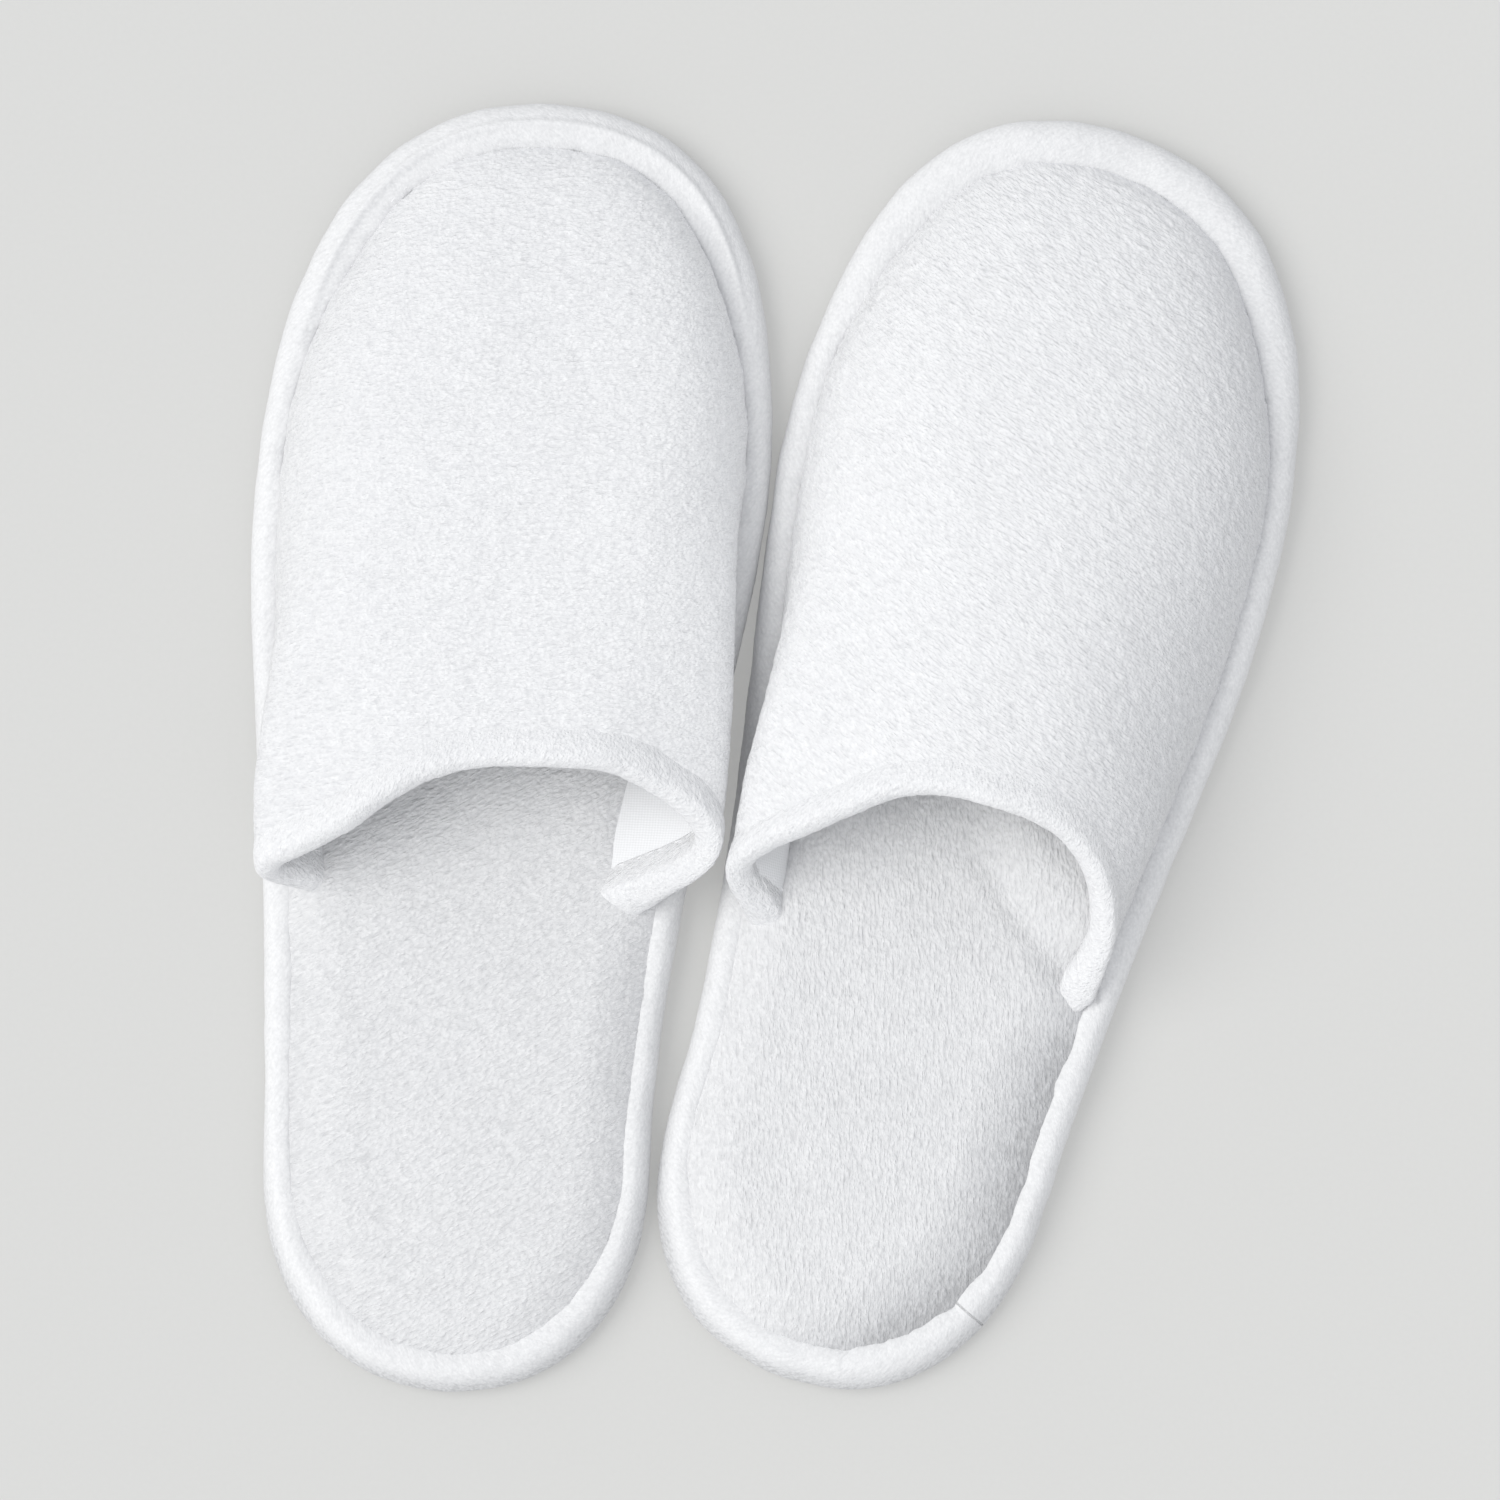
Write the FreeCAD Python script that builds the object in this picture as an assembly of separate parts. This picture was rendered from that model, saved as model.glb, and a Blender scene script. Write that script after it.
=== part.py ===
"""A pair of closed-toe spa slippers, built up the way they are sewn.

Each slipper is modelled in its own frame, in millimetres: +X towards the medial side (the big toe),
+Y towards the toe, +Z up, the origin on the ground at the middle of the sole's length. The right slipper
is the mirror image, with its own opening. Both are then turned and placed side by side.

The row frame has +X from the left slipper to the right one, +Y towards the toes and +Z up, with its
origin on the ground at the middle of the pair.
"""
import FreeCAD, Part
import math
import os

from FreeCAD import Vector

# ---- driving dimensions, in millimetres ----------------------------------------------------------------
HALF_LENGTH = 143.5
HEEL_HALF_WIDTH = 43.1
HEEL_Y = -92.6
BALL_MEDIAL = (65.6, 66.4)
BALL_LATERAL = (-49.6, 41.3)
TOE_SWING = 12.6

RIM_HEIGHT = 9.2
TAPE = 1.2
TAPE_LOWER_WIDTH = 7.0
RIM_AT_SIDE = 5.4
RIM_AT_HEEL = 8.6
RIM_AT_TOE = 9.5
SEW_GAP = 0.3
TOE_ROOM = 5.0

OUTSOLE_TOP = 5.0
BOARD_TOP = 6.4
LAYER_GAP = 0.05
COVER_THICK = 1.6
INSOLE_TOP = 14.0
INSOLE_SHOULDER = 6.0

VAMP_OUTER_THICK = 1.6
VAMP_FOAM_THICK = 2.0
VAMP_LINING_THICK = 0.8
VAMP_WIDEST_Y = 20.0
VAMP_CROWN_Y = -34.0
HEM_RADIUS = 2.6
HEM_END_RADIUS = 2.1
THREAD_RADIUS = 0.35

# Each slipper's vamp: where the middle of its rolled edge meets the sole on either side and where its arch
# peaks, how far that peak is off the middle, how sharply the arch falls to either side, how tall the vamp
# is and how flat across, and how each wall leans out: by how much, from which Y (none) to which Y (in full).
OPENINGS = {
    "left": {"lateral_y": -30.5, "medial_y": -35.5, "apex_y": -1.0, "apex_off": 0.28, "lateral_power": 3.2,
             "medial_power": 5.0, "height": 33.5, "flatness": 3.0,
             "lean_lateral": (9.0, 45.0, -20.0), "lean_medial": (15.5, 75.0, -25.0)},
    "right": {"lateral_y": -44.0, "medial_y": -48.0, "apex_y": -5.5, "apex_off": -0.18, "lateral_power": 3.3,
              "medial_power": 3.1, "height": 38.0, "flatness": 2.2,
              "lean_lateral": (5.0, 40.0, -35.0), "lean_medial": (11.5, 50.0, -38.0)},
}
# Where each slipper stands in the row frame: its own origin, and its clockwise turn in degrees.
PLACES = {
    "left": {"x": -68.2, "y": 0.2, "turn": 1.7},
    "right": {"x": 46.6, "y": -3.8, "turn": 17.9},
}

STATIONS = 144
DENSE = 960
GRID_ACROSS = 33
GRID_ALONG = 15


# ---- the sole's outline ---------------------------------------------------------------------------------
def outline_arcs():
    """Six Bezier arcs, counter-clockwise from the middle of the heel."""
    heel = (0.0, -HALF_LENGTH)
    heel_medial = (HEEL_HALF_WIDTH, HEEL_Y)
    heel_lateral = (-HEEL_HALF_WIDTH, HEEL_Y)
    toe = (TOE_SWING, HALF_LENGTH)
    return [
        (heel, (28.0, -HALF_LENGTH), (HEEL_HALF_WIDTH, HEEL_Y - 29.0), heel_medial),
        (heel_medial, (HEEL_HALF_WIDTH, HEEL_Y + 55.0), (BALL_MEDIAL[0], BALL_MEDIAL[1] - 32.0),
         BALL_MEDIAL),
        (BALL_MEDIAL, (BALL_MEDIAL[0], BALL_MEDIAL[1] + 38.0), (TOE_SWING + 45.0, HALF_LENGTH), toe),
        (toe, (TOE_SWING - 42.0, HALF_LENGTH), (BALL_LATERAL[0], BALL_LATERAL[1] + 62.0), BALL_LATERAL),
        (BALL_LATERAL, (BALL_LATERAL[0], BALL_LATERAL[1] - 32.0), (-HEEL_HALF_WIDTH, HEEL_Y + 66.0),
         heel_lateral),
        (heel_lateral, (-HEEL_HALF_WIDTH, HEEL_Y - 29.0), (-28.0, -HALF_LENGTH), heel),
    ]


ARCS = outline_arcs()


def outline_point(u):
    """Point and unit inward normal of the outline at u, from 0 to 1 around it."""
    place = (u % 1.0) * len(ARCS)
    index = min(int(place), len(ARCS) - 1)
    t = place - index
    p = ARCS[index]
    s = 1.0 - t
    weights = (s ** 3, 3 * s * s * t, 3 * s * t * t, t ** 3)
    slopes = (-3 * s * s, 3 * s * s - 6 * s * t, 6 * s * t - 3 * t * t, 3 * t * t)
    x, y = (sum(w * q[i] for w, q in zip(weights, p)) for i in (0, 1))
    dx, dy = (sum(w * q[i] for w, q in zip(slopes, p)) for i in (0, 1))
    length = math.hypot(dx, dy)
    return x, y, -dy / length, dx / length


def ease(value, low, high):
    """Smooth step from 0 at low to 1 at high."""
    t = min(max((value - low) / (high - low), 0.0), 1.0)
    return t * t * (3.0 - 2.0 * t)


def rim_width(y):
    """Width of the rolled rim seen from above: slim at the sides, broad round the heel and toe."""
    heel = ease(-y, 90.0, 135.0)
    toe = ease(y, 70.0, 125.0)
    return RIM_AT_SIDE + (RIM_AT_HEEL - RIM_AT_SIDE) * heel + (RIM_AT_TOE - RIM_AT_SIDE) * toe


def inset_loop(inset, count=STATIONS):
    """Points of the outline moved inwards by inset(y)."""
    points = []
    for i in range(count):
        x, y, nx, ny = outline_point(i / count)
        d = inset(y)
        points.append((x + nx * d, y + ny * d))
    return points


def prism(inset, bottom, top):
    """Upright solid whose plan is the outline moved inwards by inset(y)."""
    curve = Part.BSplineCurve()
    curve.interpolate(Points=[Vector(x, y, bottom) for x, y in inset_loop(inset)], PeriodicFlag=True)
    face = Part.Face(Part.Wire(curve.toShape()))
    return face.extrude(Vector(0, 0, top - bottom))


def constant(d):
    return lambda y: d


def soften(solid, z, radius):
    """Fillet the edges of a prism that lie at height z."""
    edges = [e for e in solid.Edges if abs(e.BoundBox.ZMin - z) < 0.01 and abs(e.BoundBox.ZMax - z) < 0.01]
    return solid.makeFillet(radius, edges)


# ---- the sole -------------------------------------------------------------------------------------------
def make_binding():
    """C-shaped tape that wraps the edge of the sole: outer roll, top leg and lower leg."""
    outer = soften(soften(prism(constant(0.0), 0.0, RIM_HEIGHT), RIM_HEIGHT, 4.0), 0.0, 1.6)
    inner = soften(prism(constant(TAPE), TAPE, RIM_HEIGHT - TAPE), RIM_HEIGHT - TAPE, 2.8)
    top_mouth = prism(rim_width, RIM_HEIGHT - 2 * TAPE, RIM_HEIGHT + 2.0)
    lower_mouth = prism(constant(TAPE_LOWER_WIDTH), -2.0, 2 * TAPE)
    return outer.cut(inner).cut(top_mouth).cut(lower_mouth)


def make_outsole():
    """Foam sole sheet with a step round its underside that lets the tape's lower leg lie flush."""
    sheet = prism(constant(TAPE + LAYER_GAP), TAPE + LAYER_GAP, OUTSOLE_TOP)
    tread = prism(constant(TAPE_LOWER_WIDTH + LAYER_GAP), 0.0, 2 * TAPE)
    return sheet.fuse(tread).removeSplitter()


def make_board():
    return prism(constant(2 * TAPE), OUTSOLE_TOP + LAYER_GAP, BOARD_TOP)


def vamp_cover_share(y, opening):
    """0 where the insole lies open, 1 where the vamp's walls stand on its margin."""
    corner = 0.5 * (opening["lateral_y"] + opening["medial_y"])
    return ease(y, corner - 20.0, corner - 5.0)


def cover_inset(opening):
    wall = VAMP_OUTER_THICK + VAMP_FOAM_THICK + VAMP_LINING_THICK + 4 * SEW_GAP

    def inset(y):
        return rim_width(y) + SEW_GAP + wall * vamp_cover_share(y, opening) + TOE_ROOM * ease(y, 80.0, 125.0)
    return inset


def make_insole_foam(opening):
    inset = cover_inset(opening)
    foam = prism(lambda y: inset(y) + COVER_THICK + LAYER_GAP, BOARD_TOP + LAYER_GAP,
                 INSOLE_TOP - COVER_THICK - LAYER_GAP)
    return soften(foam, INSOLE_TOP - COVER_THICK - LAYER_GAP, INSOLE_SHOULDER - COVER_THICK)


def make_insole_cover(opening):
    """Plush cover drawn over the foam."""
    inset = cover_inset(opening)
    bag = soften(prism(inset, BOARD_TOP + LAYER_GAP, INSOLE_TOP), INSOLE_TOP, INSOLE_SHOULDER)
    hollow = prism(lambda y: inset(y) + COVER_THICK, 0.0, INSOLE_TOP - COVER_THICK)
    hollow = soften(hollow, INSOLE_TOP - COVER_THICK, INSOLE_SHOULDER - COVER_THICK)
    return bag.cut(hollow)


def make_sole_seam():
    """Thread of the seam that runs round the top leg of the tape."""
    away = 1.6
    low = RIM_HEIGHT + LAYER_GAP
    ring = prism(lambda y: rim_width(y) - away - THREAD_RADIUS, low, low + 2 * THREAD_RADIUS)
    return ring.cut(prism(lambda y: rim_width(y) - away + THREAD_RADIUS, low - 1.0, low + 2.0))


# ---- the vamp -------------------------------------------------------------------------------------------
def span_table(depth):
    """Lateral and medial edge of the vamp's footprint as (y, x) lists, rising in y, for one layer depth."""
    loop = inset_loop(lambda y: rim_width(y) + SEW_GAP + depth, DENSE)
    low = min(range(DENSE), key=lambda i: loop[i][1])
    high = max(range(DENSE), key=lambda i: loop[i][1])
    count = (high - low) % DENSE
    medial = [loop[(low + i) % DENSE] for i in range(count + 1)]
    lateral = [loop[(low - i) % DENSE] for i in range(DENSE - count + 1)]
    return lateral, medial


def at_height(side, y):
    """X of a footprint edge at y, between the two points that enclose it."""
    low, high = 0, len(side) - 1
    while high - low > 1:
        middle = (low + high) // 2
        if side[middle][1] <= y:
            low = middle
        else:
            high = middle
    (x0, y0), (x1, y1) = side[low], side[high]
    share = 0.0 if y1 == y0 else min(max((y - y0) / (y1 - y0), 0.0), 1.0)
    return x0 + (x1 - x0) * share


def opening_y(cross, opening):
    """Y of the opening's edge at cross, from -1 on the lateral side to 1 on the medial side."""
    shifted = cross - opening["apex_off"] * (1.0 - cross * cross)
    side = "medial" if shifted > 0 else "lateral"
    drop = opening["apex_y"] - opening[side + "_y"]
    return opening["apex_y"] - drop * abs(shifted) ** opening[side + "_power"]


class Vamp:
    """The vamp's shape. cross runs from -1 (lateral) to 1 (medial), along from 0 (opening) to 1 (toe)."""

    def __init__(self, opening):
        self.opening = opening
        self.tables = {}

    def table(self, depth):
        if depth not in self.tables:
            self.tables[depth] = span_table(depth)
        return self.tables[depth]

    def point(self, cross, along, depth, set_back=0.0):
        """Point of the surface depth below the outside, with the edge moved toewards by set_back."""
        lateral, medial = self.table(depth)
        toe_y = medial[-1][1]
        reach = toe_y - VAMP_WIDEST_Y
        squeeze = math.sqrt(1.0 - cross * cross / 2.0)
        start = (opening_y(cross, self.opening) + set_back - VAMP_WIDEST_Y) / reach / squeeze
        row = start + (1.0 - start) * along
        b = row * squeeze
        a = cross * math.sqrt(1.0 - row * row / 2.0)
        y = VAMP_WIDEST_Y + reach * b
        side = a / math.sqrt(max(1.0 - b * b, 1e-9)) if abs(cross) < 1.0 else math.copysign(1.0, cross)
        side = min(max(side, -1.0), 1.0)
        left, right = at_height(lateral, y), at_height(medial, y)
        arch = (1.0 - abs(side) ** self.opening["flatness"]) ** 0.5
        run = min(max((y - VAMP_CROWN_Y) / (toe_y - VAMP_CROWN_Y), 0.0), 1.0)
        crown = (self.opening["height"] - depth) * (1.0 - run ** 2.2) ** 0.56
        most, none_y, full_y = self.opening["lean_medial" if side > 0 else "lean_lateral"]
        bulge = math.sin(math.pi * min(max((arch - 0.1) / 0.9, 0.0), 1.0)) ** 2
        lean = most * ease(-y, -none_y, -full_y) * bulge
        x = 0.5 * (left + right) + 0.5 * (right - left) * side
        x += math.copysign(lean, side) * abs(side)
        return Vector(x, y, BOARD_TOP + LAYER_GAP + crown * arch)

    def surface(self, depth, set_back):
        grid = []
        for i in range(GRID_ACROSS):
            cross = math.sin(math.pi / 2 * (2.0 * i / (GRID_ACROSS - 1) - 1.0))
            row = []
            for j in range(GRID_ALONG):
                along = math.sin(math.pi / 2 * j / (GRID_ALONG - 1))
                row.append(self.point(cross, along, depth, set_back))
            grid.append(row)
        surface = Part.BSplineSurface()
        surface.interpolate(grid)
        return surface

    def layer(self, outside, inside, set_back):
        """Closed solid between two depths."""
        skins = [self.surface(depth, set_back) for depth in (outside, inside)]
        faces = [skin.toShape() for skin in skins]
        bounds = []
        for skin in skins:
            u0, u1, v0, v1 = skin.bounds()
            bounds.append([skin.uIso(u0), skin.uIso(u1), skin.vIso(v0), skin.vIso(v1)])
        for outer, inner in zip(*bounds):
            faces.append(Part.makeRuledSurface(outer.toShape(), inner.toShape()))
        shell = Part.makeShell(faces)
        shell.sewShape()
        solid = Part.makeSolid(shell)
        if solid.Volume < 0:
            solid.reverse()
        return solid


def tube(centres, radius_at):
    """Closed solid round a smooth line of centres; radius_at takes the share of the way along."""
    count = len(centres)
    around = 12
    grid = []
    for i, centre in enumerate(centres):
        ahead = centres[min(i + 1, count - 1)] - centres[max(i - 1, 0)]
        ahead.normalize()
        side = ahead.cross(Vector(0, 0, 1)).normalize()
        up = side.cross(ahead).normalize()
        radius = radius_at(i / (count - 1))
        ring = []
        for j in range(around + 1):
            turn = 2 * math.pi * (j % around) / around
            ring.append(centre + side * (radius * math.cos(turn)) + up * (radius * math.sin(turn)))
        grid.append(ring)
    surface = Part.BSplineSurface()
    surface.interpolate(grid)
    u0, u1, v0, v1 = surface.bounds()
    faces = [surface.toShape()]
    for u in (u0, u1):
        faces.append(Part.Face(Part.Wire(surface.uIso(u).toShape())))
    shell = Part.makeShell(faces)
    shell.sewShape()
    solid = Part.makeSolid(shell)
    if solid.Volume < 0:
        solid.reverse()
    return solid


def edge_line(vamp, depth, set_back, reach, count=21):
    """Centres along the opening, from the lateral to the medial end, as far down the walls as reach."""
    centres = []
    for i in range(count):
        cross = math.sin(math.pi / 2 * (2.0 * i / (count - 1) - 1.0)) * reach
        centres.append(vamp.point(cross, 0.0, depth, set_back))
    return centres


def make_hem(vamp):
    """Turned plush edge: a thick roll along the opening, thinner where it runs down to the rim."""
    middle = 0.5 * (VAMP_OUTER_THICK + VAMP_FOAM_THICK + VAMP_LINING_THICK)
    centres = edge_line(vamp, middle, 0.0, 0.985)

    def radius_at(share):
        swell = math.sin(math.pi * share) ** 0.6
        return HEM_END_RADIUS + (HEM_RADIUS - HEM_END_RADIUS) * swell
    return tube(centres, radius_at)


def make_hem_seam(vamp):
    """Thread on the inside, where the turned edge is sewn to the lining."""
    depth = VAMP_OUTER_THICK + VAMP_FOAM_THICK + VAMP_LINING_THICK + 4 * LAYER_GAP + THREAD_RADIUS + 0.9
    return tube(edge_line(vamp, depth, 8.5, 0.97), lambda share: THREAD_RADIUS)


# ---- the slippers ---------------------------------------------------------------------------------------
def make_slipper(opening):
    vamp = Vamp(opening)
    set_back = 6.5
    foam_at = VAMP_OUTER_THICK + LAYER_GAP
    lining_at = foam_at + VAMP_FOAM_THICK + LAYER_GAP
    return {
        "outsole": make_outsole(),
        "insole_board": make_board(),
        "insole_foam": make_insole_foam(opening),
        "insole_cover": make_insole_cover(opening),
        "edge_binding": make_binding(),
        "sole_seam": make_sole_seam(),
        "vamp_outer": vamp.layer(0.0, VAMP_OUTER_THICK, set_back),
        "vamp_foam": vamp.layer(foam_at, foam_at + VAMP_FOAM_THICK, set_back),
        "vamp_lining": vamp.layer(lining_at, lining_at + VAMP_LINING_THICK, set_back),
        "opening_hem": make_hem(vamp),
        "hem_seam": make_hem_seam(vamp),
    }


def stand(shape, side):
    """Mirror the right slipper, then turn and place it in the row frame."""
    if side == "right":
        shape = shape.mirror(Vector(0, 0, 0), Vector(1, 0, 0))
    place = PLACES[side]
    shape.rotate(Vector(0, 0, 0), Vector(0, 0, 1), -place["turn"])
    shape.translate(Vector(place["x"], place["y"], 0))
    return shape


os.makedirs("parts", exist_ok=True)
whole = FreeCAD.BoundBox()
for side, opening in OPENINGS.items():
    for name, piece in make_slipper(opening).items():
        shape = stand(piece, side)
        shape.exportStep("parts/%s_%s.step" % (side, name))
        whole.add(shape.optimalBoundingBox(False, False))
        print("%s_%s valid %s solids %d volume %.0f" % (side, name, shape.isValid(), len(shape.Solids),
                                                        shape.Volume))
print("whole", whole)
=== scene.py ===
"""Looks for a pair of white plush spa slippers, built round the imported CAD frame.

Each slipper is shaped in its own frame, in millimetres: +X towards the medial side, +Y towards the toe,
+Z up, the origin on the ground at the middle of the sole's length. place() mirrors the right slipper,
turns and moves both into the row frame and changes to metres.
"""
import math

import bpy
import numpy as np
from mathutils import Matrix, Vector


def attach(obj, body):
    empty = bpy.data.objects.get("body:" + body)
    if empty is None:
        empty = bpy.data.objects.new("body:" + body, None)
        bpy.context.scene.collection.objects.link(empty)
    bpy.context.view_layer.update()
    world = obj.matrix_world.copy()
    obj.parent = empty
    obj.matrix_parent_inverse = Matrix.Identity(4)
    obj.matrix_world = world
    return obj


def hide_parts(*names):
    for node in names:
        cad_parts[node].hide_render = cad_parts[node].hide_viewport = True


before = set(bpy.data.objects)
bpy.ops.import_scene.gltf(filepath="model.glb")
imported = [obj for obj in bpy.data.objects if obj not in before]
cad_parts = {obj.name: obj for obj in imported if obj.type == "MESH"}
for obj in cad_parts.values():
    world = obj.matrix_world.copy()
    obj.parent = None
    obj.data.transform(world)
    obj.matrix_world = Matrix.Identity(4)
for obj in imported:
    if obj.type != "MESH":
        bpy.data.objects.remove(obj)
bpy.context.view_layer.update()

MM = 0.001

# ---- driving dimensions in millimetres, the same as the CAD frame's ---------------------------------------
HALF_LENGTH = 143.5
HEEL_HALF_WIDTH = 43.1
HEEL_Y = -92.6
BALL_MEDIAL = (65.6, 66.4)
BALL_LATERAL = (-49.6, 41.3)
TOE_SWING = 12.6
RIM_HEIGHT = 9.2
RIM_AT_SIDE, RIM_AT_HEEL, RIM_AT_TOE = 5.4, 8.6, 9.5
SEW_GAP = 0.3
BOARD_TOP = 6.4
OUTSOLE_TOP = 5.0
TAPE = 1.2
TAPE_LOWER_WIDTH = 7.0
INSOLE_TOP = 14.0
VAMP_WIDEST_Y = 20.0
VAMP_CROWN_Y = -34.0
VAMP_SKIN, VAMP_PAD, VAMP_LINING = (0.0, 1.6), (1.75, 3.6), (3.7, 4.4)
PLUSH_THICK = 1.5
SEAM_LIFT = 0.05
CROWN_FALL, CROWN_ROUND = 2.2, 0.56

# ---- how finely things are sampled ------------------------------------------------------------------------
OUTLINE_POINTS = 4000
EDGE_STATIONS = 420
TAPE_STATIONS = 1120
TINY = 1e-9

# What differs between the two slippers. Lateral is the little toe's side and medial the big toe's side.
# flatness, cove, tuck and side_shade are (lateral, medial) pairs. Lengths are in millimetres.
#   turn, at, mirror    place in the row: degrees clockwise, the origin's x and y, -1 for the mirrored foot
#   seed                seed of the slipper's own noise
#   nap, rows           direction of the fibres on the vamp and on the insole, in degrees
#   lateral_y, medial_y, apex_y, apex_off    the opening's two corners and its top, along and across
#   lateral_power, medial_power    how squarely the opening's curve drops to each corner
#   height              the vamp's crown above the board
#   flatness            exponent of the arch on each side: 2 is an ellipse, more is flatter on top
#   lean_lateral, lean_medial      outward bulge, the y where it begins and the y where it is full
#   cove, tuck          how far the lining, and the corners of the opening, are drawn inwards
#   fold, slump         crease in the insole beside the vamp's outer corner, and wider slope at its heel, with painted shade on it
#   tuft, side_shade      relief of the vamp's tufts, and painted shade (below 0) and painted light (above 0) on each side of the vamp
#   tape_joint          where the tape's ends overlap, from 0 to 1 round the outline
#   toe_ridge           depth of the groove along the tape at the toe
SLIPPERS = {
    "left": {
        "turn": 1.7, "at": (-68.2, 0.2), "mirror": 1.0, "seed": 11, "nap": 8.0, "rows": 29.0,
        "lateral_y": -30.5, "medial_y": -35.5, "apex_y": -1.0, "apex_off": 0.28,
        "lateral_power": 3.2, "medial_power": 5.0, "height": 33.5, "flatness": (3.6, 4.2),
        "lean_lateral": (11.0, 45, -20), "lean_medial": (15.5, 75, -25),
        "cove": (2.5, 9.0), "tuck": (4.2, 3.2), "fold": 0.0, "slump": 0.25,
        "tuft": 1.1, "side_shade": (-0.4, 0.6), "tape_joint": 0.25, "toe_ridge": 1.1},
    "right": {
        "turn": 17.9, "at": (46.6, -3.8), "mirror": -1.0, "seed": 47, "nap": 14.0, "rows": 72.0,
        "lateral_y": -44.0, "medial_y": -48.0, "apex_y": -5.5, "apex_off": -0.18,
        "lateral_power": 3.3, "medial_power": 3.1, "height": 38.0, "flatness": (2.0, 2.2),
        "lean_lateral": (3.4, 40, -35), "lean_medial": (11.5, 50, -38),
        "cove": (2.0, 3.0), "tuck": (0.6, 1.2), "fold": 3.4, "slump": 1.0,
        "tuft": 1.7, "side_shade": (-0.6, 0.0), "tape_joint": 0.89, "toe_ridge": 0.0},
}


# ---- noise ------------------------------------------------------------------------------------------------
def hashed(cells, seed):
    """A number from 0 to 1 for each row of whole-number cells."""
    h = np.full(cells.shape[:-1], seed * 7919 + 17, np.uint64)
    for axis, prime in enumerate((73856093, 19349663, 83492791)[:cells.shape[-1]]):
        h ^= (cells[..., axis].astype(np.int64).astype(np.uint64) * np.uint64(prime))
        h = (h ^ (h >> np.uint64(13))) * np.uint64(1274126177 + axis)
    h ^= h >> np.uint64(16)
    return (h & np.uint64(0xFFFFFF)).astype(float) / 0xFFFFFF


def noise(points, size, seed):
    """Smooth noise from -1 to 1 over points, whose bumps are about size across."""
    p = np.asarray(points, float) / size
    base = np.floor(p)
    f = p - base
    f = f * f * (3 - 2 * f)
    total = 0.0
    dims = p.shape[-1]
    for corner in range(2 ** dims):
        offset = np.array([(corner >> k) & 1 for k in range(dims)])
        weight = np.prod(np.where(offset, f, 1 - f), axis=-1)
        total = total + weight * hashed(base + offset, seed)
    return 2 * total - 1


def layered(points, size, seed, octaves=3, keep=0.5):
    """Noise with finer layers added."""
    return sum(keep ** k * noise(points, size / 2.1 ** k, seed + 31 * k) for k in range(octaves))


def tufts(flat, size, seed, jitter=0.8):
    """Rounded tufts over flat (N, 2) coordinates: 1 on each tuft's crown, 0 between tufts."""
    p = np.asarray(flat, float) / size
    base = np.floor(p)
    nearest = np.full(p.shape[:-1], 9.0)
    for dx in (-1, 0, 1):
        for dy in (-1, 0, 1):
            cell = base + np.array([dx, dy])
            spot = cell + 0.5 + jitter * (np.stack([hashed(cell, seed), hashed(cell, seed + 5)], -1) - 0.5)
            nearest = np.minimum(nearest, np.sum((p - spot) ** 2, axis=-1))
    return np.sqrt(np.clip(1 - nearest / 0.75, 0, 1))


def turned(flat, degrees, stretch=1.0):
    """Flat coordinates turned by degrees, then squeezed along their first axis by stretch."""
    c, s = math.cos(math.radians(degrees)), math.sin(math.radians(degrees))
    x, y = flat[..., 0], flat[..., 1]
    return np.stack([(x * c + y * s) / stretch, y * c - x * s], -1)


# ---- the sole's outline -----------------------------------------------------------------------------------
def outline_arcs():
    """Six Bezier arcs, counter-clockwise from the middle of the heel."""
    heel, toe = (0.0, -HALF_LENGTH), (TOE_SWING, HALF_LENGTH)
    heel_medial, heel_lateral = (HEEL_HALF_WIDTH, HEEL_Y), (-HEEL_HALF_WIDTH, HEEL_Y)
    return np.array([
        (heel, (28.0, -HALF_LENGTH), (HEEL_HALF_WIDTH, HEEL_Y - 29.0), heel_medial),
        (heel_medial, (HEEL_HALF_WIDTH, HEEL_Y + 55.0), (BALL_MEDIAL[0], BALL_MEDIAL[1] - 32.0),
         BALL_MEDIAL),
        (BALL_MEDIAL, (BALL_MEDIAL[0], BALL_MEDIAL[1] + 38.0), (TOE_SWING + 45.0, HALF_LENGTH), toe),
        (toe, (TOE_SWING - 42.0, HALF_LENGTH), (BALL_LATERAL[0], BALL_LATERAL[1] + 62.0), BALL_LATERAL),
        (BALL_LATERAL, (BALL_LATERAL[0], BALL_LATERAL[1] - 32.0), (-HEEL_HALF_WIDTH, HEEL_Y + 66.0),
         heel_lateral),
        (heel_lateral, (-HEEL_HALF_WIDTH, HEEL_Y - 29.0), (-28.0, -HALF_LENGTH), heel),
    ])


ARCS = outline_arcs()


def raw_outline(u):
    """Points and unit inward normals of the outline at u, from 0 to 1 around it."""
    way = (u % 1.0) * len(ARCS)
    index = np.minimum(way.astype(int), len(ARCS) - 1)
    t = (way - index)[:, None]
    p = ARCS[index]
    s = 1 - t
    point = s ** 3 * p[:, 0] + 3 * s * s * t * p[:, 1] + 3 * s * t * t * p[:, 2] + t ** 3 * p[:, 3]
    slope = s * s * (p[:, 1] - p[:, 0]) + 2 * s * t * (p[:, 2] - p[:, 1]) + t * t * (p[:, 3] - p[:, 2])
    slope = slope / np.linalg.norm(slope, axis=1, keepdims=True)
    return point, np.stack([-slope[:, 1], slope[:, 0]], 1)


def even_stations(count, start=0.0):
    """Values of u from start that lie evenly along the outline's length, and that length."""
    u = start + np.linspace(0, 1, OUTLINE_POINTS + 1)
    point, _ = raw_outline(u)
    run = lengths_along(point)
    return np.interp(np.arange(count) / count * run[-1], run, u), run[-1]


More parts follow.
